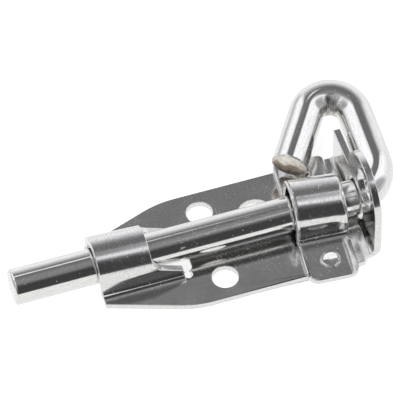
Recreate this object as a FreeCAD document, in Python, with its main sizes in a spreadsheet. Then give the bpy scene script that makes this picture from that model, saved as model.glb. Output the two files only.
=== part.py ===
import FreeCAD, Part
import Sketcher
import math
import os

# Padbolt: a round bolt that is bent into its own handle, carried on a pressed plate.
# The origin is on the back of the plate, under the bolt, level with the two screw holes.
# X runs along the bolt towards the handle, Y to the side the handle rests on, Z away from the door.

doc = FreeCAD.newDocument("padbolt")
sheet = doc.addObject("Spreadsheet::Sheet", "Sizes")

# Every driving size in millimetres, or degrees for a turn, written once.
rows = [
    # the bolt
    ("boltRadius", "5"),
    ("tipReach", "56.8"),
    ("legPlace", "49.3"),
    ("apexPlace", "49.1"),
    ("apexReach", "47.4"),
    ("sawnPlace", "26.7"),
    ("sawnReach", "14.4"),
    ("boltBend", "9"),
    ("apexBend", "7"),
    ("restTurn", "10"),
    ("tipChamfer", "0.4"),
    ("restGap", "0.1"),
    # the pressed plate
    ("plateSheet", "2"),
    ("plateShift", "0.5"),
    ("frontHalf", "10.2"),
    ("rearHalf", "18.3"),
    ("shoulderPlace", "-10.1"),
    ("shoulderRound", "28"),
    ("cornerRun", "1.6"),
    ("bendFlat", "0.4"),
    ("screwSpread", "23"),
    ("screwRadius", "3.6"),
    ("sideHolePlace", "14.5"),
    ("sideHoleShift", "7"),
    ("sideHoleRadius", "4.7"),
    # the raised front loop
    ("loopFront", "-33.4"),
    ("loopLong", "14.3"),
    ("loopLean", "0.6"),
    ("loopGap", "0.6"),
    ("loopRoot", "1.6"),
    ("leafLong", "8.5"),
    ("leafShoulder", "6.8"),
    ("leafRound", "5"),
    ("leafRise", "2.9"),
    ("leafDrop", "0.3"),
    ("slotBeyond", "2.4"),
    ("slotPast", "0.6"),
    ("slotRound", "1"),
    ("reliefRadius", "1.15"),
    ("reliefBack", "1"),
    ("reliefOut", "0.3"),
    # the end plate
    ("wallPlace", "40.9"),
    ("wallBend", "1.2"),
    ("wallFarTop", "13.9"),
    ("earRadius", "11.3"),
    ("earShift", "-4.7"),
    ("earRise", "15.3"),
    ("lockRadius", "5.6"),
    ("lockShift", "-6.2"),
    ("lockRise", "18.6"),
    ("wallGap", "1.2"),
    # the rear strap
    ("strapSheet", "2"),
    ("strapPlace", "29.5"),
    ("strapWide", "14.6"),
    ("strapTurn", "4"),
    ("strapGap", "1.25"),
    ("strapRoot", "1.6"),
    ("strapNear", "21.9"),
    ("strapFar", "19.8"),
    ("footNearRound", "3.2"),
    ("footFarRound", "1.4"),
    # the rivets
    ("rivetSpread", "30.6"),
    ("rivetShift", "-0.5"),
    ("rivetShank", "1.9"),
    ("rivetHead", "3.25"),
    ("rivetRise", "0.9"),
    ("rivetRim", "0.2"),
    ("rivetDome", "2.2"),
    ("rivetFit", "0.05"),
]
for number, (alias, size) in enumerate(rows, start=1):
    sheet.set("A%d" % number, alias)
    sheet.set("B%d" % number, size)
    sheet.setAlias("B%d" % number, alias)
doc.recompute()


# A length is written as words, such as "plateSheet + 0.5*strapWide": signed terms, each a product.
def words(text):
    terms = []
    sign = 1
    for word in text.split():
        if word in "+-":
            sign = 1 if word == "+" else -1
        else:
            terms.append((sign, word.split("*")))
            sign = 1
    return terms


def amount(text):
    total = 0.0
    for sign, factors in words(text):
        product = float(sign)
        for factor in factors:
            product *= float(sheet.get(factor)) if factor[0].isalpha() else float(factor)
        total += product
    return total


def minus(text):
    return "0 - " + text.replace("+", "-")


def bound(text):
    pieces = []
    for sign, factors in words(text):
        named = ["Sizes." + f if f[0].isalpha() else f for f in factors]
        pieces.append(("+ " if sign > 0 else "- ") + " * ".join(named))
    return "0 " + " ".join(pieces)


def makeBody(label):
    body = doc.addObject("PartDesign::Body", label)
    body.Label = label
    return body


def makeSketch(body, name, role, shift=None):
    sketch = body.newObject("Sketcher::SketchObject", name)
    plane = [f for f in body.Origin.OriginFeatures if f.Role == role][0]
    sketch.AttachmentSupport = [(plane, "")]
    sketch.MapMode = "FlatFace"
    if shift:
        sketch.setExpression("AttachmentOffset.Base.z", bound(shift))
    return sketch


def pin(sketch, geometry, point, across, up):
    for kind, text in (("DistanceX", across), ("DistanceY", up)):
        row = sketch.addConstraint(Sketcher.Constraint(kind, -1, 1, geometry, point, amount(text)))
        sketch.setExpression("Constraints[%d]" % row, bound(text))


def addCircle(sketch, across, up, radius):
    centre = FreeCAD.Vector(amount(across), amount(up), 0)
    circle = Part.Circle(centre, FreeCAD.Vector(0, 0, 1), amount(radius))
    ring = sketch.addGeometry(circle, False)
    pin(sketch, ring, 3, across, up)
    row = sketch.addConstraint(Sketcher.Constraint("Radius", ring, amount(radius)))
    sketch.setExpression("Constraints[%d]" % row, bound(radius))


# Corners are (across, up) or (across, up, rounding), in order round the profile or along a path.
def addPath(sketch, corners, closed=True):
    count = len(corners)
    spots = [FreeCAD.Vector(amount(c[0]), amount(c[1]), 0) for c in corners]
    before = list(spots)
    after = list(spots)
    bends = {}
    for i in range(count):
        if len(corners[i]) < 3:
            continue
        into = (spots[i - 1] - spots[i]).normalize()
        out = (spots[(i + 1) % count] - spots[i]).normalize()
        half = into.getAngle(out) / 2
        radius = amount(corners[i][2])
        before[i] = spots[i] + into * (radius / math.tan(half))
        after[i] = spots[i] + out * (radius / math.tan(half))
        middle = spots[i] + (into + out).normalize() * (radius / math.sin(half))
        left = into.cross(out).z < 0
        first, last = (before[i], after[i]) if left else (after[i], before[i])
        start = math.atan2(first.y - middle.y, first.x - middle.x)
        end = math.atan2(last.y - middle.y, last.x - middle.x)
        circle = Part.Circle(middle, FreeCAD.Vector(0, 0, 1), radius)
        bends[i] = (Part.ArcOfCircle(circle, start, end), left)
    runs = {}
    for i in range(count if closed else count - 1):
        runs[i] = sketch.addGeometry(Part.LineSegment(after[i], before[(i + 1) % count]), False)
    for i in range(count):
        incoming = runs.get(i - 1 if i else (count - 1 if closed else -1))
        outgoing = runs.get(i)
        if i not in bends:
            if outgoing is not None:
                pin(sketch, outgoing, 1, corners[i][0], corners[i][1])
                if incoming is not None:
                    sketch.addConstraint(Sketcher.Constraint("Coincident", incoming, 2, outgoing, 1))
            else:
                pin(sketch, incoming, 2, corners[i][0], corners[i][1])
            continue
        arc, left = bends[i]
        bend = sketch.addGeometry(arc, False)
        mark = sketch.addGeometry(Part.Point(spots[i]), True)
        pin(sketch, mark, 1, corners[i][0], corners[i][1])
        sketch.addConstraint(Sketcher.Constraint("PointOnObject", mark, 1, incoming))
        sketch.addConstraint(Sketcher.Constraint("PointOnObject", mark, 1, outgoing))
        sketch.addConstraint(Sketcher.Constraint("Tangent", incoming, 2, bend, 1 if left else 2))
        sketch.addConstraint(Sketcher.Constraint("Tangent", outgoing, 1, bend, 2 if left else 1))
        row = sketch.addConstraint(Sketcher.Constraint("Radius", bend, amount(corners[i][2])))
        sketch.setExpression("Constraints[%d]" % row, bound(corners[i][2]))


def raised(body, sketch, length, back=False):
    pad = body.newObject("PartDesign::Pad", sketch.Name + "Pad")
    pad.Profile = sketch
    pad.setExpression("Length", bound(length))
    pad.Reversed = back
    doc.recompute()
    return pad


# A cut goes against its sketch's normal, or with it when ahead is set, and must remove something.
def cutAway(body, sketch, length, ahead=False):
    full = body.Tip.Shape.Volume
    pocket = body.newObject("PartDesign::Pocket", sketch.Name + "Cut")
    pocket.Profile = sketch
    pocket.setExpression("Length", bound(length))
    pocket.Reversed = ahead
    doc.recompute()
    if pocket.Shape.Volume > full - 1e-6:
        raise RuntimeError(sketch.Name + " cuts nothing")
    return pocket


def edgesWhere(feature, test):
    names = []
    for number, edge in enumerate(feature.Shape.Edges, start=1):
        if test(edge):
            names.append("Edge%d" % number)
    return names


def rounded(body, name, edges, radius):
    base = body.Tip
    fillet = body.newObject("PartDesign::Fillet", name)
    fillet.Base = (base, edges)
    fillet.setExpression("Radius", bound(radius))
    doc.recompute()
    return fillet


boltHeight = "plateSheet + restGap + boltRadius"
loopInside = "boltRadius + loopGap"
loopOutside = "boltRadius + loopGap + plateSheet"
loopBack = "loopFront + loopLong"
leafTip = "loopFront + loopLong + leafLong"
slotReach = "loopFront + loopLong + leafLong + slotBeyond"
loopRun = "loopLean + loopLong + leafLong + slotBeyond"
plateNear = "plateShift - rearHalf"
plateFar = "plateShift + rearHalf"
wallBack = "wallPlace + plateSheet"
earNear = "earShift - earRadius"

# The back plate: narrow at the front loop, wider behind it, stepped in on the near side at the bend.
basePlate = makeBody("base_plate")
outline = makeSketch(basePlate, "plateOutline", "XY_Plane")
addPath(outline, [
    ("loopFront", "plateShift - frontHalf"),
    ("shoulderPlace", plateNear, "shoulderRound"),
    ("wallPlace - wallBend - bendFlat - cornerRun", plateNear),
    ("wallPlace - wallBend - bendFlat", earNear),
    (wallBack, earNear),
    (wallBack, plateFar),
    ("shoulderPlace", plateFar, "shoulderRound"),
    ("loopFront", "plateShift + frontHalf"),
])
raised(basePlate, outline, "plateSheet")

# The end plate: a low part on the far side and, on the near side, an ear with a round head.
lowPart = makeSketch(basePlate, "endPlateLow", "YZ_Plane", "wallPlace")
addPath(lowPart, [(earNear, "0"), (plateFar, "0"), (plateFar, "wallFarTop"), (earNear, "wallFarTop")])
raised(basePlate, lowPart, "plateSheet")
earPost = makeSketch(basePlate, "earPost", "YZ_Plane", "wallPlace")
addPath(earPost, [(earNear, "0"), ("earShift + earRadius", "0"), ("earShift + earRadius", "earRise"),
                  (earNear, "earRise")])
raised(basePlate, earPost, "plateSheet")
earHead = makeSketch(basePlate, "earHead", "YZ_Plane", "wallPlace")
addCircle(earHead, "earShift", "earRise", "earRadius")
raised(basePlate, earHead, "plateSheet")


def alongY(edge, place, height):
    box = edge.BoundBox
    level = abs(box.ZMin - height) < 1e-4 and abs(box.ZMax - height) < 1e-4
    return level and abs(box.XMin - place) < 1e-4 and abs(box.XMax - place) < 1e-4


# The sheet turns up round a small inside radius, and its outside follows it.
tip = basePlate.Tip
rounded(basePlate, "bendInside",
        edgesWhere(tip, lambda e: alongY(e, amount("wallPlace"), amount("plateSheet"))), "wallBend")
tip = basePlate.Tip
rounded(basePlate, "bendOutside",
        edgesWhere(tip, lambda e: alongY(e, amount(wallBack), 0.0)), "wallBend + plateSheet")

# The bolt's hole and the padlock's hole, both through the end plate.
boltHole = makeSketch(basePlate, "boltHole", "YZ_Plane", wallBack)
addCircle(boltHole, "0", boltHeight, "boltRadius + wallGap")
cutAway(basePlate, boltHole, "plateSheet + wallBend")
lockHole = makeSketch(basePlate, "padlockHole", "YZ_Plane", wallBack)
addCircle(lockHole, "lockShift", "lockRise", "lockRadius")
cutAway(basePlate, lockHole, "plateSheet")

# The front loop is pressed up out of the plate: an arch on two legs with rolled roots.
loopStart = "loopFront - loopLean"
rootReach = "boltRadius + loopGap + plateSheet + loopRoot + 0.1"
legs = makeSketch(basePlate, "loopLegs", "YZ_Plane", loopStart)
addPath(legs, [
    (minus(rootReach), "0"),
    (rootReach, "0"),
    (rootReach, "plateSheet"),
    (loopOutside, "plateSheet", "loopRoot"),
    (loopOutside, boltHeight),
    (minus(loopOutside), boltHeight),
    (minus(loopOutside), "plateSheet", "loopRoot"),
    (minus(rootReach), "plateSheet"),
])
raised(basePlate, legs, loopRun)
arch = makeSketch(basePlate, "loopArch", "YZ_Plane", loopStart)
addCircle(arch, "0", boltHeight, loopOutside)
raised(basePlate, arch, loopRun)

# The space under the loop, with the sheet's lower edges rolled to the same bend.
under = makeSketch(basePlate, "loopUnder", "YZ_Plane", loopStart)
addPath(under, [
    (minus(rootReach), "-1.0*plateSheet"),
    (rootReach, "-1.0*plateSheet"),
    (rootReach, "0"),
    (loopInside, "0", "loopRoot + plateSheet"),
    (loopInside, boltHeight),
    (minus(loopInside), boltHeight),
    (minus(loopInside), "0", "loopRoot + plateSheet"),
    (minus(rootReach), "0"),
])
cutAway(basePlate, under, loopRun, True)
inside = makeSketch(basePlate, "loopInside", "YZ_Plane", loopStart)
addCircle(inside, "0", boltHeight, loopInside)
cutAway(basePlate, inside, loopRun, True)

# The loop leans a little forward of the plate's front edge.
loopSide = "0 - boltRadius - loopGap - plateSheet - loopRoot - 0.2"
loopSpan = "2*boltRadius + 2*loopGap + 2*plateSheet + 2*loopRoot + 0.4"
nose = makeSketch(basePlate, "loopNose", "XZ_Plane", loopSide)
addPath(nose, [
    ("loopFront", "-1.0*plateSheet"),
    ("loopFront", "plateSheet"),
    ("loopFront - 1.2*loopLean", "plateSheet + 1.2*boltRadius + 1.2*restGap"),
    ("loopFront - 1.2*loopLean", "-1.0*plateSheet"),
])
cutAway(basePlate, nose, loopSpan, True)

# Behind the arch the legs sweep down into two leaves that run back to the relief holes.
leaf = makeSketch(basePlate, "leafSide", "XZ_Plane", loopSide)
addPath(leaf, [
    (loopBack, "plateSheet + leafShoulder", "leafRound"),
    (leafTip, "plateSheet + leafRise"),
    (leafTip + " + leafDrop", "plateSheet"),
    (slotReach, "plateSheet"),
    (slotReach, boltHeight + " + 2*boltRadius"),
    (loopBack, boltHeight + " + 2*boltRadius"),
])
cutAway(basePlate, leaf, loopSpan, True)

# The slot's end and the two relief holes that stop it from tearing.
slotStart = slotReach + " - slotRound - 0.5*slotPast"
slotEnd = makeSketch(basePlate, "slotEnd", "XY_Plane", "plateSheet")
addPath(slotEnd, [
    (slotStart, minus(loopInside)),
    (slotReach + " + slotPast", minus(loopInside), "slotRound"),
    (slotReach + " + slotPast", loopInside, "slotRound"),
    (slotStart, loopInside),
])
cutAway(basePlate, slotEnd, "plateSheet")
reliefSide = "boltRadius + loopGap + reliefRadius + reliefOut"
for name, reach in (("reliefNear", minus(reliefSide)), ("reliefFar", reliefSide)):
    relief = makeSketch(basePlate, name, "XY_Plane", "plateSheet")
    addCircle(relief, slotReach + " - reliefBack", reach, "reliefRadius")
    cutAway(basePlate, relief, "plateSheet")

# Screw holes beside the bolt and the larger hole part-way under it.
for name, side in (("screwHoleFar", "+"), ("screwHoleNear", "-")):
    hole = makeSketch(basePlate, name, "XY_Plane", "plateSheet")
    addCircle(hole, "0", "plateShift " + side + " 0.5*screwSpread", "screwRadius")
    cutAway(basePlate, hole, "plateSheet")
sideHole = makeSketch(basePlate, "sideHole", "XY_Plane", "plateSheet")
addCircle(sideHole, "sideHolePlace", "sideHoleShift", "sideHoleRadius")
cutAway(basePlate, sideHole, "plateSheet")

# The strap and its rivets share one turned line across the plate.
turn = math.radians(amount("strapTurn"))
rivetSpots = {}
for name, side in (("near", "- 0.5*rivetSpread"), ("far", "+ 0.5*rivetSpread")):
    reach = "rivetShift " + side
    rivetSpots[name] = reach
turnedAcross = "Sizes.strapPlace + (%s) * tan(Sizes.strapTurn * 1 deg)"


def onTurnedLine(sketch, geometry, reach):
    across = amount("strapPlace") + amount(reach) * math.tan(turn)
    row = sketch.addConstraint(Sketcher.Constraint("DistanceX", -1, 1, geometry, 3, across))
    sketch.setExpression("Constraints[%d]" % row, turnedAcross % bound(reach))
    row = sketch.addConstraint(Sketcher.Constraint("DistanceY", -1, 1, geometry, 3, amount(reach)))
    sketch.setExpression("Constraints[%d]" % row, bound(reach))


for name, reach in rivetSpots.items():
    hole = makeSketch(basePlate, "rivetHole" + name.title(), "XY_Plane", "plateSheet")
    across = amount("strapPlace") + amount(reach) * math.tan(turn)
    centre = FreeCAD.Vector(across, amount(reach), 0)
    circle = Part.Circle(centre, FreeCAD.Vector(0, 0, 1), amount("rivetShank + rivetFit"))
    ring = hole.addGeometry(circle, False)
    onTurnedLine(hole, ring, reach)
    row = hole.addConstraint(Sketcher.Constraint("Radius", ring, amount("rivetShank + rivetFit")))
    hole.setExpression("Constraints[%d]" % row, bound("rivetShank + rivetFit"))
    cutAway(basePlate, hole, "plateSheet")

# The strap: an arch over the bolt with a foot on each side, drawn in the strap's own square frame.
strapInside = "boltRadius + strapGap"
strapOutside = "boltRadius + strapGap + strapSheet"
footTop = "plateSheet + strapSheet"
strap = makeBody("rear_strap")
feet = makeSketch(strap, "strapFeet", "YZ_Plane", "-0.5*strapWide")
addPath(feet, [
    ("-1.0*strapNear", "plateSheet"),
    ("strapFar", "plateSheet"),
    ("strapFar", footTop),
    (strapOutside, footTop, "strapRoot"),
    (strapOutside, boltHeight),
    (minus(strapOutside), boltHeight),
    (minus(strapOutside), footTop, "strapRoot"),
    ("-1.0*strapNear", footTop),
])
raised(strap, feet, "strapWide")
crown = makeSketch(strap, "strapCrown", "YZ_Plane", "-0.5*strapWide")
addCircle(crown, "0", boltHeight, strapOutside)
raised(strap, crown, "strapWide")
hollow = makeSketch(strap, "strapHollow", "YZ_Plane", "-0.5*strapWide")
hollowReach = "boltRadius + strapGap + strapRoot + strapSheet + 0.1"
addPath(hollow, [
    (minus(hollowReach), "-1.0*strapNear"),
    (hollowReach, "-1.0*strapNear"),
    (hollowReach, "plateSheet"),
    (strapInside, "plateSheet", "strapRoot + strapSheet"),
    (strapInside, boltHeight),
    (minus(strapInside), boltHeight),
    (minus(strapInside), "plateSheet", "strapRoot + strapSheet"),
    (minus(hollowReach), "plateSheet"),
])
cutAway(strap, hollow, "strapWide", True)
bore = makeSketch(strap, "strapBore", "YZ_Plane", "-0.5*strapWide")
addCircle(bore, "0", boltHeight, strapInside)
cutAway(strap, bore, "strapWide", True)
for name, reach in rivetSpots.items():
    hole = makeSketch(strap, "strapRivetHole" + name.title(), "XY_Plane", footTop)
    place = "(%s) / cos(Sizes.strapTurn * 1 deg)" % bound(reach)
    along = amount(reach) / math.cos(turn)
    ring = hole.addGeometry(Part.Circle(FreeCAD.Vector(0, along, 0), FreeCAD.Vector(0, 0, 1),
                                        amount("rivetShank + rivetFit")), False)
    hole.addConstraint(Sketcher.Constraint("DistanceX", -1, 1, ring, 3, 0.0))
    row = hole.addConstraint(Sketcher.Constraint("DistanceY", -1, 1, ring, 3, along))
    hole.setExpression("Constraints[%d]" % row, place)
    row = hole.addConstraint(Sketcher.Constraint("Radius", ring, amount("rivetShank + rivetFit")))
    hole.setExpression("Constraints[%d]" % row, bound("rivetShank + rivetFit"))
    cutAway(strap, hole, "strapSheet")


def uprightAt(edge, reach):
    box = edge.BoundBox
    upright = box.XLength < 1e-4 and box.YLength < 1e-4 and box.ZLength > 0.1
    return upright and abs(box.YMin - reach) < 1e-4


tip = strap.Tip
nearCorners = edgesWhere(tip, lambda e: uprightAt(e, amount("-1.0*strapNear")))
rounded(strap, "footNearCorners", nearCorners, "footNearRound")
tip = strap.Tip
farCorners = edgesWhere(tip, lambda e: uprightAt(e, amount("strapFar")))
rounded(strap, "footFarCorners", farCorners, "footFarRound")
strap.setExpression("Placement.Base.x", bound("strapPlace"))
strap.setExpression("Placement.Rotation.Angle", "-1 * Sizes.strapTurn * 1 deg")
strap.Placement.Rotation = FreeCAD.Rotation(FreeCAD.Vector(0, 0, 1), -amount("strapTurn"))

# The rivets: a straight shank flush with the plate's back and a low domed head on the strap's foot.
for name, reach in rivetSpots.items():
    rivet = makeBody("rivet_" + name)
    half = makeSketch(rivet, "rivetHalf" + name.title(), "XZ_Plane")
    addPath(half, [
        ("0", "0"),
        ("rivetShank", "0"),
        ("rivetShank", footTop),
        ("rivetHead", footTop),
        ("rivetHead", footTop + " + rivetRim"),
        ("0.6*rivetHead", footTop + " + rivetRise", "rivetDome"),
        ("0", footTop + " + rivetRise"),
    ])
    spin = rivet.newObject("PartDesign::Revolution", "rivetSpin" + name.title())
    spin.Profile = half
    spin.ReferenceAxis = (half, ["V_Axis"])
    spin.Angle = 360
    doc.recompute()
    rivet.setExpression("Placement.Base.x", turnedAcross % bound(reach))
    rivet.setExpression("Placement.Base.y", bound(reach))

# The bolt: one round rod, straight through both loops, then bent twice into a three-sided handle.
bolt = makeBody("bolt")
route = makeSketch(bolt, "boltRoute", "XY_Plane")
route.AttachmentOffset = FreeCAD.Placement(FreeCAD.Vector(0, 0, amount(boltHeight)),
                                           FreeCAD.Rotation(FreeCAD.Vector(1, 0, 0), amount("restTurn")))
route.setExpression("AttachmentOffset.Base.z", bound(boltHeight))
route.setExpression("AttachmentOffset.Rotation.Angle", "Sizes.restTurn * 1 deg")
addPath(route, [
    ("-1.0*tipReach", "0"),
    ("legPlace", "0", "boltBend"),
    ("apexPlace", "apexReach", "apexBend"),
    ("sawnPlace", "sawnReach"),
], closed=False)
section = makeSketch(bolt, "boltSection", "YZ_Plane", "-1.0*tipReach")
addCircle(section, "0", boltHeight, "boltRadius")
doc.recompute()
rod = bolt.newObject("PartDesign::AdditivePipe", "boltRod")
rod.Profile = section
rod.Spine = (route, ["Edge%d" % (n + 1) for n in range(len(route.Shape.Edges))])
doc.recompute()


def atTip(edge):
    box = edge.BoundBox
    return box.XLength < 1e-4 and abs(box.XMin + amount("tipReach")) < 1e-4


chamfer = bolt.newObject("PartDesign::Chamfer", "boltTip")
chamfer.Base = (rod, edgesWhere(rod, atTip))
chamfer.setExpression("Size", bound("tipChamfer"))
doc.recompute()

# Every object must have computed, and every sub-part must be one sound solid, before it is written.
for item in doc.Objects:
    if "Invalid" in item.State or "Error" in item.State:
        raise RuntimeError(item.Name + " failed: " + ", ".join(item.State))
parts = [basePlate, strap, doc.getObject("rivet_near"), doc.getObject("rivet_far"), bolt]
os.makedirs("parts", exist_ok=True)
for part in parts:
    shape = part.Shape
    if shape.isNull() or not shape.isValid() or len(shape.Solids) != 1:
        raise RuntimeError(part.Label + " is not one sound solid")
for part in parts:
    part.Shape.exportStep("parts/" + part.Label + ".step")
    box = part.Shape.BoundBox
    print(part.Label, round(part.Shape.Volume, 1), [round(v, 2) for v in
          (box.XMin, box.XMax, box.YMin, box.YMax, box.ZMin, box.ZMax)])
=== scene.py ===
import math
import bpy
import bmesh
from mathutils import Matrix, Vector, noise


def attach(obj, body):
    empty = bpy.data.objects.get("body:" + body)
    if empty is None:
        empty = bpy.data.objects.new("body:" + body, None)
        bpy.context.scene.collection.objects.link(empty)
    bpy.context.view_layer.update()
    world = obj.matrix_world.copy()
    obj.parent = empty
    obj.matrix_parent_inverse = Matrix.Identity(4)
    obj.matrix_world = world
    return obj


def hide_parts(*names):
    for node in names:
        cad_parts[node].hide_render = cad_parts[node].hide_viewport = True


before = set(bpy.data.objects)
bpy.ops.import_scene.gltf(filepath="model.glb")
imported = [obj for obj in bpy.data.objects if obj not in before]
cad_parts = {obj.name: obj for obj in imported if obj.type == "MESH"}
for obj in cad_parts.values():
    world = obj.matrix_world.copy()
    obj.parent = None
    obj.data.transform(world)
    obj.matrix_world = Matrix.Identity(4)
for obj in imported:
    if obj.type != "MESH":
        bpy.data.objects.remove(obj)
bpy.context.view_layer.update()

scene = bpy.context.scene
scene.view_settings.view_transform = "Standard"
mm = 0.001


# A shader socket that adds and multiplies like a number.
class Wire:
    def __init__(self, board, socket):
        self.board = board
        self.socket = socket

    def calc(self, operation, *others):
        sockets = {number: value for number, value in enumerate((self,) + others)}
        return self.board.add("ShaderNodeMath", {"operation": operation}, sockets)

    def __add__(self, other):
        return self.calc("ADD", other)

    def __mul__(self, other):
        return self.calc("MULTIPLY", other)

    def __sub__(self, other):
        return self.calc("SUBTRACT", other)

    def __rsub__(self, other):
        return self.calc("MULTIPLY", -1.0).calc("ADD", other)

    def __truediv__(self, other):
        return self.calc("DIVIDE", other)

    __radd__ = __add__
    __rmul__ = __mul__

    # Nought below low, one above high, soft between; low above high turns it round.
    def step(self, low, high):
        turned = low > high
        edges = {0: self, 1: min(low, high), 2: max(low, high)}
        rise = self.board.add("ShaderNodeMapRange", {"interpolation_type": "SMOOTHSTEP"}, edges)
        return 1.0 - rise if turned else rise


# A shader tree to build on, for a material or the world.
class Board:
    def __init__(self, owner):
        owner.use_nodes = True
        self.tree = owner.node_tree
        self.tree.nodes.clear()

    def add(self, kind, settings=None, sockets=None, out=0):
        node = self.tree.nodes.new(kind)
        stops = None
        for name, value in (settings or {}).items():
            if name == "stops":
                stops = value
            else:
                setattr(node, name, value)
        if stops:
            ramp = node.color_ramp.elements
            while len(ramp) < len(stops):
                ramp.new(1.0)
            for element, (place, colour) in zip(ramp, stops):
                element.position = place
                element.color = (*colour, 1.0)
        for name, value in (sockets or {}).items():
            if isinstance(value, Wire):
                self.tree.links.new(value.socket, node.inputs[name])
            else:
                node.inputs[name].default_value = value
        return Wire(self, node.outputs[out]) if len(node.outputs) else None

    def blend(self, mask, first, second):
        values = {0: mask}
        for number, value in ((6, first), (7, second)):
            values[number] = value if isinstance(value, Wire) else (*value, 1.0)
        return self.add("ShaderNodeMix", {"data_type": "RGBA"}, values, 2)

    def split(self, vector):
        node = self.add("ShaderNodeSeparateXYZ", None, {0: vector}).socket.node
        return [Wire(self, socket) for socket in node.outputs]

    def noise(self, vector, scale, detail):
        return self.add("ShaderNodeTexNoise", None, {"Vector": vector, "Scale": scale, "Detail": detail})

    def stretch(self, vector, scale):
        return self.add("ShaderNodeMapping", None, {"Vector": vector, "Scale": scale})

    def bump(self, height, strength, distance):
        sockets = {"Height": height, "Strength": strength, "Distance": distance}
        return self.add("ShaderNodeBump", None, sockets)

    def surface(self, colour, metallic, rough, normal):
        sockets = {"Base Color": colour, "Metallic": metallic, "Roughness": rough, "Normal": normal}
        self.finish(self.add("ShaderNodeBsdfPrincipled", None, sockets))

    def ray(self, kind):
        path = self.add("ShaderNodeLightPath").socket.node
        return Wire(self, path.outputs[kind])

    def finish(self, shader, kind="ShaderNodeOutputMaterial"):
        self.add(kind, None, {"Surface": shader})


# The camera, traced from the photograph: where it aims, how far off it stands and its lens.
view = {
    "azimuth": 16.995,
    "dip": 52.653,
    "roll": 1.052,
    "distance": 1139.06 * mm,
    "aim": (0.854 * mm, 13.843 * mm, 5.0 * mm),
    "lens": 374.68,
    "sensor": 36,
    "nearest": 0.01,
    "farthest": 20,
}


def makeCamera():
    azimuth, dip, roll = (math.radians(view[key]) for key in ("azimuth", "dip", "roll"))
    level = Vector((math.sin(azimuth), math.cos(azimuth), 0))
    ahead = level * math.cos(dip) - Vector((0, 0, math.sin(dip)))
    across = Vector((math.cos(azimuth), -math.sin(azimuth), 0))
    down = ahead.cross(across)
    side = math.cos(roll) * across + math.sin(roll) * down
    under = math.cos(roll) * down - math.sin(roll) * across
    lens = bpy.data.cameras.new("camera")
    lens.sensor_width = view["sensor"]
    lens.lens = view["lens"]
    lens.clip_start = view["nearest"]
    lens.clip_end = view["farthest"]
    camera = bpy.data.objects.new("camera", lens)
    scene.collection.objects.link(camera)
    facing = Matrix((side, -under, -ahead)).transposed().to_4x4()
    camera.matrix_world = Matrix.Translation(Vector(view["aim"]) - ahead * view["distance"]) @ facing
    scene.camera = camera


makeCamera()
print("camera set")

# The studio as bright metal shows it. Each wall has a heading in degrees from the far side, half its
# width, how soft its ends are, and its brightness from the floor line up to overhead. A later wall lies
# over an earlier one. A lamp has a heading, a height in degrees, a size and a brightness.
studio = {
    "tint": (0.985, 0.99, 1.03),
    "far": [(0, 1.15), (12, 1.05), (22, 0.9), (32, 0.64), (42, 0.38), (52, 0.195), (62, 0.175),
            (74, 0.19), (90, 0.25)],
    "walls": [
        (107, 41, 4, [(0, 0.95), (20, 1.1), (30, 1.25), (60, 1.25), (66, 1.2), (70, 0.75),
                      (73, 0.28), (90, 0.27)]),
        (288, 58, 6, [(0, 0.55), (10, 0.6), (20, 0.9), (30, 1.25), (68, 1.25), (74, 0.8),
                      (80, 0.35), (90, 0.29)]),
        (121, 18, 6, [(0, 0.7), (20, 0.5), (50, 0.45), (60, 0.8), (66, 1.15), (70, 0.75),
                      (73, 0.28), (90, 0.27)]),
        (266, 21, 6, [(0, 0.6), (20, 0.5), (48, 0.42), (60, 0.7), (68, 0.9), (74, 0.7),
                      (80, 0.35), (90, 0.29)]),
        (204, 26, 8, [(0, 0.17), (14, 0.16), (24, 0.2), (34, 0.3), (44, 0.42), (64, 0.5),
                      (76, 0.5), (90, 0.3)]),
        (169, 17, 5, [(0, 0.10), (8, 0.06), (46, 0.055), (54, 0.12), (62, 0.25), (74, 0.24),
                      (90, 0.28)]),
    ],
    "lamps": [(13.5, 61, 3.4, 1.2)],
    "plainLight": 0.62,
    "floor": {"reach": 6.0, "low": -0.15 * mm, "matt": 0.62, "glow": 0.66, "mirrored": 1.0},
    "softLamps": {
        "softTop": {"place": (-0.3, 0.2, 1.3), "size": 1.0, "power": 7.0},
        "softSide": {"place": (-0.75, -0.8, 0.5), "size": 0.8, "power": 7.0},
    },
}


def makeWorld():
    world = bpy.data.worlds.new("studio")
    scene.world = world
    board = Board(world)
    x, y, z = board.split(board.add("ShaderNodeTexCoord"))
    height = z.calc("ARCSINE") * (2 / math.pi)
    reach = (x * x + y * y + 1e-6).calc("SQRT")

    # A ramp holds no value above one, so the brightest level is taken out and given back after it.
    def wall(levels):
        top = max(level for place, level in levels)
        strongest = max(studio["tint"])
        stops = []
        for place, level in levels:
            stops.append((place / 90, [level / top * part / strongest for part in studio["tint"]]))
        ramp = board.add("ShaderNodeValToRGB", {"stops": stops}, {0: height})
        return board.add("ShaderNodeVectorMath", {"operation": "SCALE"}, {0: ramp, 3: top * strongest})

    seen = wall(studio["far"])
    for heading, half, soft, levels in studio["walls"]:
        turn = math.radians(heading)
        facing = (x * math.sin(turn) + y * math.cos(turn)) / reach
        mask = facing.step(math.cos(math.radians(half + soft)), math.cos(math.radians(half - soft)))
        seen = board.blend(mask, seen, wall(levels))
    for heading, height, size, level in studio["lamps"]:
        turn, lift = math.radians(heading), math.radians(height)
        aim = (math.sin(turn) * math.cos(lift), math.cos(turn) * math.cos(lift), math.sin(lift))
        near = x * aim[0] + y * aim[1] + z * aim[2]
        mask = near.step(math.cos(math.radians(size * 1.5)), math.cos(math.radians(size * 0.5)))
        seen = board.blend(mask, seen, (level, level, level))
    plain = board.blend(board.ray("Is Camera Ray"), (studio["plainLight"],) * 3, (1.0, 1.0, 1.0))
    colour = board.blend(board.ray("Is Glossy Ray"), plain, seen)
    board.finish(board.add("ShaderNodeBackground", None, {"Color": colour}), "ShaderNodeOutputWorld")


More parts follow.
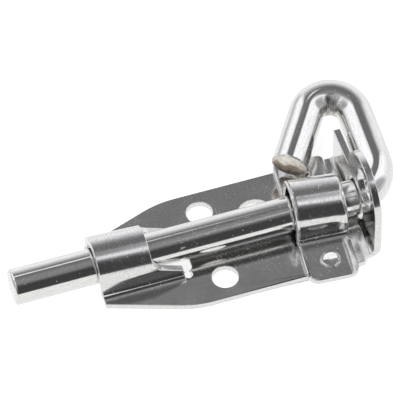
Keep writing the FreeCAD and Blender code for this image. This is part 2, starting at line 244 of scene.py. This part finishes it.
# The floor is white to the eye and to the metal, and matt to the soft lamps.
def makeFloor():
    look = studio["floor"]
    reach, low = look["reach"], look["low"]
    corners = [(-reach, -reach, low), (reach, -reach, low), (reach, reach, low), (-reach, reach, low)]
    mesh = bpy.data.meshes.new("floor")
    mesh.from_pydata(corners, [], [(0, 1, 2, 3)])
    floor = bpy.data.objects.new("floor", mesh)
    scene.collection.objects.link(floor)
    material = bpy.data.materials.new("whiteFloor")
    board = Board(material)
    matt = board.add("ShaderNodeBsdfDiffuse", None, {"Color": (look["matt"],) * 3 + (1.0,)})
    glow = board.add("ShaderNodeEmission", None, {"Strength": look["glow"]})
    lit = board.add("ShaderNodeAddShader", None, {0: matt, 1: glow})
    mirrored = board.add("ShaderNodeEmission", None, {"Strength": look["mirrored"]})
    sockets = {0: board.ray("Is Glossy Ray"), 1: lit, 2: mirrored}
    board.finish(board.add("ShaderNodeMixShader", None, sockets))
    mesh.materials.append(material)


def makeLamp(name, place, size, power):
    lamp = bpy.data.lights.new(name, "AREA")
    lamp.size = size
    lamp.energy = power
    holder = bpy.data.objects.new(name, lamp)
    scene.collection.objects.link(holder)
    holder.location = place
    holder.rotation_euler = (-Vector(place)).to_track_quat("-Z", "Y").to_euler()
    holder.visible_glossy = False


makeWorld()
makeFloor()
for name, look in studio["softLamps"].items():
    makeLamp(name, look["place"], look["size"], look["power"])
print("studio lit")

# Bright plated steel. Grain is fine and even, pits are dark and sparse, specks are pale and lie in drifts.
# Each texture's scale is in repeats to the metre.
steel = {
    "plate": {"colour": (0.83, 0.825, 0.812), "rough": 0.15, "grain": 1.0, "specks": 0.9,
              "drag": (1.0, 0.3, 1.0)},
    "bolt": {"colour": (0.865, 0.858, 0.84), "rough": 0.11, "grain": 0.7, "specks": 0.6,
             "drag": (0.12, 1.0, 1.0)},
    "rivet": {"colour": (0.84, 0.832, 0.815), "rough": 0.14, "grain": 0.8, "specks": 0.2,
              "drag": (1.0, 1.0, 1.0)},
    # The sawn end's colours: pale above, brown both for its torn grain and for the painted shade below, and
    # near black as painted shade at its lower rim.
    "sawn": {"pale": (0.93, 0.89, 0.81), "brownGrainAndShade": (0.30, 0.25, 0.19), "rimShade": (0.07, 0.055, 0.045),
             "rough": 0.5, "middle": 10.3 * mm, "middleAlong": 26.7 * mm},
    "speckColour": (0.86, 0.86, 0.85),
    # The next colour is a painted shade, laid in the folds on the inside of the tight bend.
    "foldShadeColour": (0.16, 0.135, 0.11),
    "scales": {"cloud": 110.0, "grain": 2600.0, "lines": 2100.0, "wave": 160.0, "specks": 2600.0,
               "folds": 1300.0, "dents": 520.0, "sawnCloud": 420.0, "torn": 1400.0},
    "bumpStrength": 0.35,
    "bumpDepth": 0.012 * mm,
    "sawnStrength": 0.9,
    "sawnDepth": 0.14 * mm,
}
# Places on the bolt, by their distance along it and their side: the crushed inside of the tight bend, whose
# folds also get a painted shade, and the marks that the bending tool left on the free leg.
boltMarks = {
    "crushed": {"along": 135.4 * mm, "half": 10.0 * mm, "side": (-0.98, -0.2), "from": 0.3, "to": 0.95},
    "tooled": {"along": 152.0 * mm, "half": 8.5 * mm, "side": (0.3, 0.954), "from": 0.55, "to": 0.97},
    "radius": 5.0 * mm,
}


# One in the middle of a mark, nought outside it.
def markMask(along, across, around, mark):
    away = (along - mark["along"]).calc("ABSOLUTE") / mark["half"]
    side = (across * mark["side"][0] + around * mark["side"][1]) / boltMarks["radius"]
    return away.step(1.0, 0.35) * side.step(mark["from"], mark["to"])


def shaded(colour, share):
    return [part * share for part in colour]


# With path, the textures follow the rod round its bends instead of lying straight through it.
def steelMaterial(name, look, path=False):
    material = bpy.data.materials.new(name)
    board = Board(material)
    colour, scales = look["colour"], steel["scales"]
    if path:
        place = board.add("ShaderNodeAttribute", {"attribute_name": "sweep"}, out=1)
    else:
        place = board.add("ShaderNodeTexCoord", out=3)
    cloud = board.noise(place, scales["cloud"], 4.0)
    grain = board.noise(place, scales["grain"], 3.0)
    lines = board.noise(board.stretch(place, look["drag"]), scales["lines"], 4.0)
    wave = board.noise(place, scales["wave"], 1.0)
    speck = board.add("ShaderNodeTexVoronoi", None, {"Vector": place, "Scale": scales["specks"]})
    chance = board.add("ShaderNodeTexVoronoi", None, {"Vector": place, "Scale": scales["specks"]}, out=1)
    red, green, blue = board.split(chance)
    drift = cloud.step(0.45, 0.62) * 0.08 + 0.012
    specks = speck.step(0.34, 0.12) * (red + drift * look["specks"]).step(0.995, 1.0)
    pit = speck.step(0.30, 0.15) * green.step(0.95, 0.96)
    streaks = lines.step(0.63, 0.71) * cloud.step(0.5, 0.64)
    shade = (grain - 0.5) * (2.0 * look["grain"]) + (lines - 0.5) * 1.1
    tone = board.blend((shade + 0.5).step(0.1, 0.9) * 0.55, colour, shaded(colour, 0.66))
    tone = board.blend(cloud.step(0.25, 0.8) * 0.3, tone, shaded(colour, 0.86))
    tone = board.blend(pit * 0.4, tone, shaded(colour, 0.45))
    tone = board.blend((specks + streaks * 0.5) * 0.6, tone, steel["speckColour"])
    rough = cloud.step(0.2, 0.85) * 0.06 + lines * 0.05 + pit * 0.15
    rough = rough + (specks + streaks) * 0.2 + (look["rough"] - 0.06)
    height = grain * (0.6 * look["grain"]) + lines * 0.3 + wave * 4.0 - pit * 0.7
    if path:
        along, across, around = board.split(place)
        crushed = markMask(along, across, around, boltMarks["crushed"])
        tooled = markMask(along, across, around, boltMarks["tooled"])
        folds = board.noise(board.stretch(place, (1.0, 0.3, 0.3)), scales["folds"], 3.0)
        dents = board.noise(place, scales["dents"], 3.0)
        # Painted shade: the folds on the crushed inside of the tight bend are darkened to a dark brown.
        tone = board.blend(crushed * folds.step(0.35, 0.6) * 0.75, tone, steel["foldShadeColour"])
        rough = rough + crushed * 0.22 + tooled * 0.24
        height = height + crushed * folds * 22.0 + tooled * dents * 16.0
    bump = board.bump(height, steel["bumpStrength"], steel["bumpDepth"])
    board.surface(tone, 1.0 - specks * 0.6 - streaks * 0.2, rough, bump)
    return material


# The sawn end: painted light and shade by height, pale above, brown below and nearly black at its lower rim,
# all with a torn grain.
def sawnMaterial():
    look, scales = steel["sawn"], steel["scales"]
    material = bpy.data.materials.new("sawnSteel")
    board = Board(material)
    place = board.add("ShaderNodeTexCoord", out=3)
    cloud = board.noise(place, scales["sawnCloud"], 4.0)
    torn = board.noise(board.stretch(place, (0.4, 1.0, 1.0)), scales["torn"], 4.0)
    x, y, z = board.split(place)
    # How far up and along the face a point lies; the face is painted pale above this line and painted shade
    # darkens it below.
    height = (z - look["middle"]) / (1.0 * mm) + (x - look["middleAlong"]) / (3.5 * mm) + (cloud - 0.5) * 6.0
    tone = board.blend(height.step(-1.6, 0.2), look["brownGrainAndShade"], look["pale"])
    # Painted shade, nearly black, along the lower rim.
    tone = board.blend(height.step(-2.2, -4.2), tone, look["rimShade"])
    tone = board.blend(torn.step(0.62, 0.4) * 0.3, tone, look["brownGrainAndShade"])
    bump = board.bump(torn + cloud, steel["sawnStrength"], steel["sawnDepth"])
    board.surface(tone, 0.0, torn * 0.2 + (look["rough"] - 0.1), bump)
    return material


plateSteel = steelMaterial("plateSteel", steel["plate"])
boltSteel = steelMaterial("boltSteel", steel["bolt"], path=True)
rivetSteel = steelMaterial("rivetSteel", steel["rivet"])
sawnSteel = sawnMaterial()
print("steels mixed")


def link(name, mesh, *materials):
    piece = bpy.data.objects.new(name, mesh)
    scene.collection.objects.link(piece)
    for material in materials:
        mesh.materials.append(material)
    return piece


def bake(piece):
    bpy.context.view_layer.update()
    graph = bpy.context.evaluated_depsgraph_get()
    mesh = bpy.data.meshes.new_from_object(piece.evaluated_get(graph))
    piece.modifiers.clear()
    piece.data = mesh
    return piece


def smooth(value, low, high):
    t = min(1.0, max(0.0, (value - low) / (high - low)))
    return t * t * (3 - 2 * t)


# Pressed sheet: the solid's own surface, merged, with the edges that the press leaves. Heights are above
# the mounting face, and the strap's places across its width are in millimetres from its middle line.
pressed = {
    "plateEdge": 0.22 * mm,
    "strapEdge": 0.42 * mm,
    "edgeTurn": 34,
    "edgeSteps": 3,
    "merge": 0.001 * mm,
    "flatTurn": 0.4,
    "cutReach": 0.002 * mm,
    "shortest": 0.02 * mm,
    "loopLift": 1.0 * mm,
    "loopFront": -34.0 * mm,
    "loopBack": -19.1 * mm,
    "loopFoot": 3.6 * mm,
    "loopCrown": 10 * mm,
    "boltHeight": 7.1 * mm,
    "strapLift": 1.2 * mm,
    "strapMiddle": 29.5 * mm,
    "strapTurn": 4.0,
    "strapHalf": 7.3 * mm,
    "strapCuts": [-6.9, -6.5, -6.1, 4.4, 4.9, 5.4, 5.8, 6.1, 6.5, 6.9],
    "strapWaist": 5.5 * mm,
    "strapCrown": 12 * mm,
    "crownFlat": 6.1 * mm,
    "crownRoll": 0.28 * mm,
    "crownLow": 5.0 * mm,
    "crownOutside": 7.4 * mm,
    "footStart": 10.2 * mm,
    "footTop": 3.2 * mm,
    "footFlat": 4.4 * mm,
    "footRoll": 0.75 * mm,
}


def pressedPiece(name, node, edge, cuts, shape):
    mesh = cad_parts[node].data.copy()
    mesh.materials.clear()
    form = bmesh.new()
    form.from_mesh(mesh)
    bmesh.ops.remove_doubles(form, verts=form.verts, dist=pressed["merge"])
    flat = math.radians(pressed["flatTurn"])
    bmesh.ops.dissolve_limit(form, angle_limit=flat, verts=form.verts, edges=form.edges)
    for spot, normal in cuts:
        parts = form.verts[:] + form.edges[:] + form.faces[:]
        bmesh.ops.bisect_plane(form, geom=parts, plane_co=spot, plane_no=normal, dist=pressed["cutReach"])
    bmesh.ops.remove_doubles(form, verts=form.verts, dist=pressed["shortest"])
    for vertex in form.verts:
        vertex.co = shape(vertex.co)
    for face in form.faces:
        face.smooth = True
        face.material_index = 0
    form.to_mesh(mesh)
    form.free()
    piece = link(name, mesh, plateSteel)
    bevel = piece.modifiers.new("brokenEdges", "BEVEL")
    bevel.width = edge
    bevel.segments = pressed["edgeSteps"]
    bevel.limit_method = "ANGLE"
    bevel.angle_limit = math.radians(pressed["edgeTurn"])
    bevel.use_clamp_overlap = False
    even = piece.modifiers.new("evenNormals", "WEIGHTED_NORMAL")
    even.mode = "FACE_AREA"
    even.weight = 50
    even.keep_sharp = True
    bake(piece)
    # Nothing stands below the mounting face.
    for vertex in piece.data.vertices:
        vertex.co.z = max(vertex.co.z, 0.0)
    return piece


# The loop's crown rises to its front.
def liftedLoop(spot):
    along = (pressed["loopBack"] - spot.x) / (pressed["loopBack"] - pressed["loopFront"])
    if along <= 0 or spot.z < pressed["loopFoot"]:
        return spot
    share = smooth(spot.z, pressed["loopFoot"], pressed["loopCrown"])
    return spot + Vector((0, 0, pressed["loopLift"] * along * share))


# Where a point lies across the strap's width, seen square to its turned line.
def strapAcross(spot):
    turn = math.radians(pressed["strapTurn"])
    return (spot.x - pressed["strapMiddle"]) * math.cos(turn) - spot.y * math.sin(turn)


def strapCuts():
    turn = math.radians(pressed["strapTurn"])
    normal = Vector((math.cos(turn), -math.sin(turn), 0))
    middle = Vector((pressed["strapMiddle"], 0, 0))
    return [(middle + normal * offset * mm, normal) for offset in pressed["strapCuts"]]


# The strap's crown rises to its front, and the sheet's outer face rolls over at both long edges.
def rolledStrap(spot):
    across = strapAcross(spot)
    half = pressed["strapHalf"]
    sideways = abs(spot.y) > pressed["footStart"]
    rearFoot = sideways and across > 0
    flat = pressed["footFlat"] if rearFoot else pressed["crownFlat"]
    roll = max(0.0, (abs(across) - flat) / (half - flat)) ** 2
    drop = (pressed["footRoll"] if rearFoot else pressed["crownRoll"]) * roll
    away = spot - Vector((spot.x, 0, pressed["boltHeight"]))
    moved = spot.copy()
    if sideways:
        if spot.z > pressed["footTop"]:
            moved.z -= drop
    elif spot.z > pressed["crownLow"] and away.length > pressed["crownOutside"]:
        moved -= away.normalized() * drop
    share = smooth(spot.z, pressed["strapWaist"], pressed["strapCrown"])
    moved.z += pressed["strapLift"] * (half - across) / (2 * half) * share
    return moved


plate = pressedPiece("plate", "base_plate", pressed["plateEdge"], [], liftedLoop)
strap = pressedPiece("strap", "rear_strap", pressed["strapEdge"], strapCuts(), rolledStrap)
for piece, node in ((plate, "base_plate"), (strap, "rear_strap")):
    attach(piece, "plate")
    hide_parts(node)
print("sheet parts pressed")


# Geometry Nodes: a small builder for the trees, with named inputs.
class Growth:
    def __init__(self, name, inputs):
        self.tree = bpy.data.node_groups.new(name, "GeometryNodeTree")
        self.tree.interface.new_socket("Geometry", in_out="INPUT", socket_type="NodeSocketGeometry")
        self.tree.interface.new_socket("Geometry", in_out="OUTPUT", socket_type="NodeSocketGeometry")
        for label, value in inputs.items():
            kind = {int: "NodeSocketInt", float: "NodeSocketFloat"}.get(type(value), "NodeSocketVector")
            self.tree.interface.new_socket(label, in_out="INPUT", socket_type=kind)
        self.entry = self.tree.nodes.new("NodeGroupInput")
        self.exit = self.tree.nodes.new("NodeGroupOutput")
        self.inputs = inputs

    def given(self, label):
        return self.entry.outputs[label]

    def add(self, kind, settings=None, sockets=None, out=0):
        node = self.tree.nodes.new(kind)
        for name, value in (settings or {}).items():
            setattr(node, name, value)
        for name, value in (sockets or {}).items():
            if isinstance(value, bpy.types.NodeSocket):
                self.tree.links.new(value, node.inputs[name])
            else:
                node.inputs[name].default_value = value
        return node.outputs[out]

    def finish(self, geometry, material):
        real = self.add("GeometryNodeRealizeInstances", None, {0: geometry})
        dressed = self.add("GeometryNodeSetMaterial", None, {"Geometry": real, "Material": material})
        self.tree.links.new(dressed, self.exit.inputs[0])

    def grow(self, piece):
        modifier = piece.modifiers.new(self.tree.name, "NODES")
        modifier.node_group = self.tree
        for item in self.tree.interface.items_tree:
            if item.item_type == "SOCKET" and item.in_out == "INPUT" and item.name in self.inputs:
                modifier[item.identifier] = self.inputs[item.name]
        return bake(piece)


# The bolt: a rod swept along its route, with a turned tip and a torn end where it was cropped. The route is
# in millimetres along the bolt and out along the handle. The ends' rings each have a share of the radius
# and, in millimetres, how far they stand out.
boltMake = {
    "radius": 5.0 * mm,
    "sides": 96,
    "bendSteps": 26,
    "legBend": 9.0 * mm,
    "apexBend": 7.0 * mm,
    "height": 7.1 * mm,
    "restTurn": 10.0,
    "route": [(-56.8, 0), (49.3, 0), (49.1, 47.4), (26.7, 14.4)],
    "hold": 0.5 * mm,
    "legPoint": 3,
    "apexPoint": 6,
    "chamfer": 0.5 * mm,
    "tipRings": [(0.975, 0.12), (0.93, 0.34), (0.90, 0.47), (0.86, 0.5), (0.6, 0.5), (0.3, 0.5), (0.08, 0.5)],
    "sawnRings": [(0.99, 0.0), (0.965, 0.06), (0.93, 0.0), (0.86, 0), (0.75, 0), (0.6, 0), (0.42, 0),
                  (0.22, 0), (0.08, 0)],
    "torn": 0.09 * mm,
    "tornScale": 800,
}


def routePoint(across, reach):
    turn = math.radians(boltMake["restTurn"])
    lift = reach * mm * math.sin(turn)
    return Vector((across * mm, reach * mm * math.cos(turn), boltMake["height"] + lift))


# The route's corners, with a held point beside each end and each bend, so the straights stay true.
def boltRoute():
    corners = [routePoint(*spot) for spot in boltMake["route"]]
    corners[0].x += boltMake["chamfer"]
    radii = [0.0, boltMake["legBend"], boltMake["apexBend"], 0.0]
    shorter = []
    for number, radius in enumerate(radii):
        cut = 0.0
        if radius:
            before = (corners[number] - corners[number - 1]).normalized()
            after = (corners[number + 1] - corners[number]).normalized()
            cut = radius * math.tan(before.angle(after) / 2)
        shorter.append(cut + boltMake["hold"])
    points = []
    for number, corner in enumerate(corners):
        if number:
            back = (corners[number - 1] - corner).normalized()
            points.append(corner + back * shorter[number])
        points.append(corner)
        if number < len(corners) - 1:
            onward = (corners[number + 1] - corner).normalized()
            points.append(corner + onward * shorter[number])
    return points


# Only the two real bends are rounded: a held point has no bend of its own.
def sweepBolt():
    points = boltRoute()
    route = bpy.data.meshes.new("boltRoute")
    route.from_pydata(points, [(n, n + 1) for n in range(len(points) - 1)], [])
    growth = Growth("sweptRod", {
        "Radius": boltMake["radius"],
        "Sides": boltMake["sides"],
        "Bend steps": boltMake["bendSteps"],
        "Leg bend": boltMake["legBend"],
        "Apex bend": boltMake["apexBend"],
    })
    line = growth.add("GeometryNodeMeshToCurve", None, {"Mesh": growth.given("Geometry")})
    index = growth.add("GeometryNodeInputIndex")

    def isPoint(number):
        equal = {"data_type": "INT", "operation": "EQUAL"}
        return growth.add("FunctionNodeCompare", equal, {2: index, 3: number})

    def choose(kind, test, other, value):
        sockets = {"Switch": test, "False": other, "True": value}
        return growth.add("GeometryNodeSwitch", {"input_type": kind}, sockets)

    atLeg = isPoint(boltMake["legPoint"])
    atApex = isPoint(boltMake["apexPoint"])
    atBend = growth.add("FunctionNodeBooleanMath", {"operation": "OR"}, {0: atLeg, 1: atApex})
    bend = choose("FLOAT", atLeg, growth.given("Apex bend"), growth.given("Leg bend"))
    steps = choose("INT", atBend, 0, growth.given("Bend steps"))
    sockets = {"Curve": line, "Radius": bend, "Count": steps}
    bent = growth.add("GeometryNodeFilletCurve", {"mode": "POLY"}, sockets)
    length = growth.add("GeometryNodeSplineParameter", out=1)
    marked = growth.add("GeometryNodeStoreNamedAttribute", {"data_type": "FLOAT", "domain": "POINT"},
                        {"Geometry": bent, "Name": "along", "Value": length})
    ring = growth.add("GeometryNodeCurvePrimitiveCircle", None,
                      {"Resolution": growth.given("Sides"), "Radius": growth.given("Radius")})
    place = growth.add("GeometryNodeInputPosition")
    ringed = growth.add("GeometryNodeStoreNamedAttribute", {"data_type": "FLOAT_VECTOR", "domain": "POINT"},
                        {"Geometry": ring, "Name": "round", "Value": place})
    rod = growth.add("GeometryNodeCurveToMesh", None, {"Curve": marked, "Profile Curve": ringed})
    growth.finish(rod, boltSteel)
    piece = growth.grow(link("boltRod", route, boltSteel))
    piece.data.materials.append(sawnSteel)
    return piece


# The open rims of a mesh, each as its vertices in order.
def openRings(form):
    rings = []
    left = {edge for edge in form.edges if edge.is_boundary}
    while left:
        first = min(left, key=lambda edge: edge.index)
        left.discard(first)
        start, vertex = first.verts
        ring = [start, vertex]
        while True:
            onward = [edge for edge in vertex.link_edges if edge in left]
            if not onward:
                break
            left.discard(onward[0])
            vertex = onward[0].other_vert(vertex)
            if vertex is start:
                break
            ring.append(vertex)
        rings.append(ring)
    return rings


# Rings run inwards from a rim until they close it: turned at the tip, torn at the sawn end.
def closeRing(form, sweep, ring):
    centre = sum((v.co for v in ring), Vector()) / len(ring)
    tip = centre.x < 0
    normal = (ring[0].co - centre).cross(ring[len(ring) // 4].co - centre).normalized()
    inward = sum((v.link_edges[0].other_vert(v).co - v.co for v in ring), Vector())
    outward = -1 if normal.dot(inward) > 0 else 1
    last = ring
    for share, rise in boltMake["tipRings" if tip else "sawnRings"]:
        made = []
        for vertex in ring:
            spot = centre + (vertex.co - centre) * share
            lift = rise * mm
            if not tip and share < 0.98:
                rough = noise.fractal(spot * boltMake["tornScale"], 0.9, 2.2, 5)
                lift += boltMake["torn"] * rough * smooth(1 - share, 0.01, 0.12)
            fresh = form.verts.new(spot + normal * outward * lift)
            where = vertex[sweep]
            fresh[sweep] = Vector((where.x, where.y * share, where.z * share))
            made.append(fresh)
        for number in range(len(ring)):
            after = (number + 1) % len(ring)
            face = form.faces.new((last[number], last[after], made[after], made[number]))
            face.material_index = 0 if tip or share > 0.95 else 1
        last = made
    face = form.faces.new(last)
    face.material_index = 0 if tip else 1


def closeEnds(piece):
    mesh = piece.data
    form = bmesh.new()
    form.from_mesh(mesh)
    along = form.verts.layers.float.get("along")
    around = form.verts.layers.float_vector.get("round")
    sweep = form.verts.layers.float_vector.new("sweep")
    for vertex in form.verts:
        spot = vertex[around]
        vertex[sweep] = Vector((vertex[along], spot.x, spot.y))
    for ring in openRings(form):
        closeRing(form, sweep, ring)
    bmesh.ops.recalc_face_normals(form, faces=form.faces)
    for face in form.faces:
        face.smooth = True
    form.to_mesh(mesh)
    form.free()


bolt = sweepBolt()
closeEnds(bolt)
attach(bolt, "bolt")
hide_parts("bolt")
print("bolt swept")

# The rivets: one low head with a lopsided blow of the setting punch, placed by Geometry Nodes at both ends
# of the strap's turned line. Sizes are in millimetres.
rivetMake = {
    "rim": 2.9,
    "rimStart": 2.7,
    "rise": 0.42,
    "ring": {"reach": 2.5, "half": 0.12, "deep": 0.1},
    "shank": 1.9,
    "seat": 4.0,
    "tail": 0.15,
    "blow": {"reach": 2.25, "slope": 0.27, "rise": 0.1, "from": -0.35, "lean": -0.3,
             "soft": 0.12, "rim": 0.2},
    "reaches": [0.2, 0.4, 0.6, 0.8, 1.0, 1.2, 1.4, 1.6, 1.8, 1.9, 2.0, 2.1, 2.2, 2.3, 2.4, 2.5,
                2.6, 2.7, 2.78, 2.84, 2.9],
    "spread": 30.6,
    "shift": -0.5,
    "strapPlace": 29.5,
    "strapTurn": 4.0,
    "sides": 72,
}


def rivetHeight(x, y):
    blow, ring = rivetMake["blow"], rivetMake["ring"]
    reach = math.hypot(x, y)
    edge = 1 - smooth(reach, rivetMake["rimStart"], rivetMake["rim"])
    groove = ring["deep"] * math.exp(-((reach - ring["reach"]) / ring["half"]) ** 2)
    beside = smooth(y - blow["from"] - blow["lean"] * x, -blow["soft"], blow["soft"])
    struck = beside * (1 - smooth(reach, blow["reach"] - blow["rim"], blow["reach"]))
    return rivetMake["rise"] * edge - groove + struck * (blow["rise"] + blow["slope"] * x)


def rivetHead():
    seat, sides, shank, tail = (rivetMake[key] for key in ("seat", "sides", "shank", "tail"))
    form = bmesh.new()
    turns = [2 * math.pi * n / sides for n in range(sides)]

    def ringOf(reach, height):
        spots = [(reach * math.cos(turn), reach * math.sin(turn)) for turn in turns]
        return [form.verts.new((x * mm, y * mm, height(x, y) * mm)) for x, y in spots]

    rings = [[form.verts.new((0, 0, (seat + rivetHeight(0, 0)) * mm))]]
    for reach in rivetMake["reaches"]:
        rings.append(ringOf(reach, lambda x, y: seat + rivetHeight(x, y)))
    for reach, level in ((shank, seat), (shank, tail), (shank - tail, 0.0)):
        rings.append(ringOf(reach, lambda x, y: level))
    rings.append([form.verts.new((0, 0, 0))])
    for upper, lower in zip(rings, rings[1:]):
        for n in range(sides):
            after = (n + 1) % sides
            corners = [upper[n % len(upper)], lower[n % len(lower)]]
            corners += [lower[after % len(lower)], upper[after % len(upper)]]
            form.faces.new(list(dict.fromkeys(corners)))
    bmesh.ops.recalc_face_normals(form, faces=form.faces)
    for face in form.faces:
        face.smooth = True
    mesh = bpy.data.meshes.new("rivetHead")
    form.to_mesh(mesh)
    form.free()
    return link("rivetHead", mesh, rivetSteel)


def setRivets():
    pattern = rivetHead()
    half = rivetMake["spread"] / 2
    slope = math.tan(math.radians(rivetMake["strapTurn"]))
    spots = []
    for reach in (rivetMake["shift"] - half, rivetMake["shift"] + half):
        spots.append(((rivetMake["strapPlace"] + reach * slope) * mm, reach * mm, 0.0))
    growth = Growth("rivetPair", {"First": Vector(spots[0]), "Second": Vector(spots[1])})
    line = growth.add("GeometryNodeCurvePrimitiveLine", None,
                      {"Start": growth.given("First"), "End": growth.given("Second")})
    points = growth.add("GeometryNodeCurveToPoints", {"mode": "COUNT"}, {"Curve": line, "Count": 2})
    source = growth.add("GeometryNodeObjectInfo", None, {"Object": pattern}, out=4)
    placed = growth.add("GeometryNodeInstanceOnPoints", None, {"Points": points, "Instance": source})
    growth.finish(placed, rivetSteel)
    pair = growth.grow(link("rivets", bpy.data.meshes.new("rivets"), rivetSteel))
    bpy.data.objects.remove(pattern)
    return pair


rivets = setRivets()
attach(rivets, "plate")
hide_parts("rivet_near", "rivet_far")
print("rivets set")
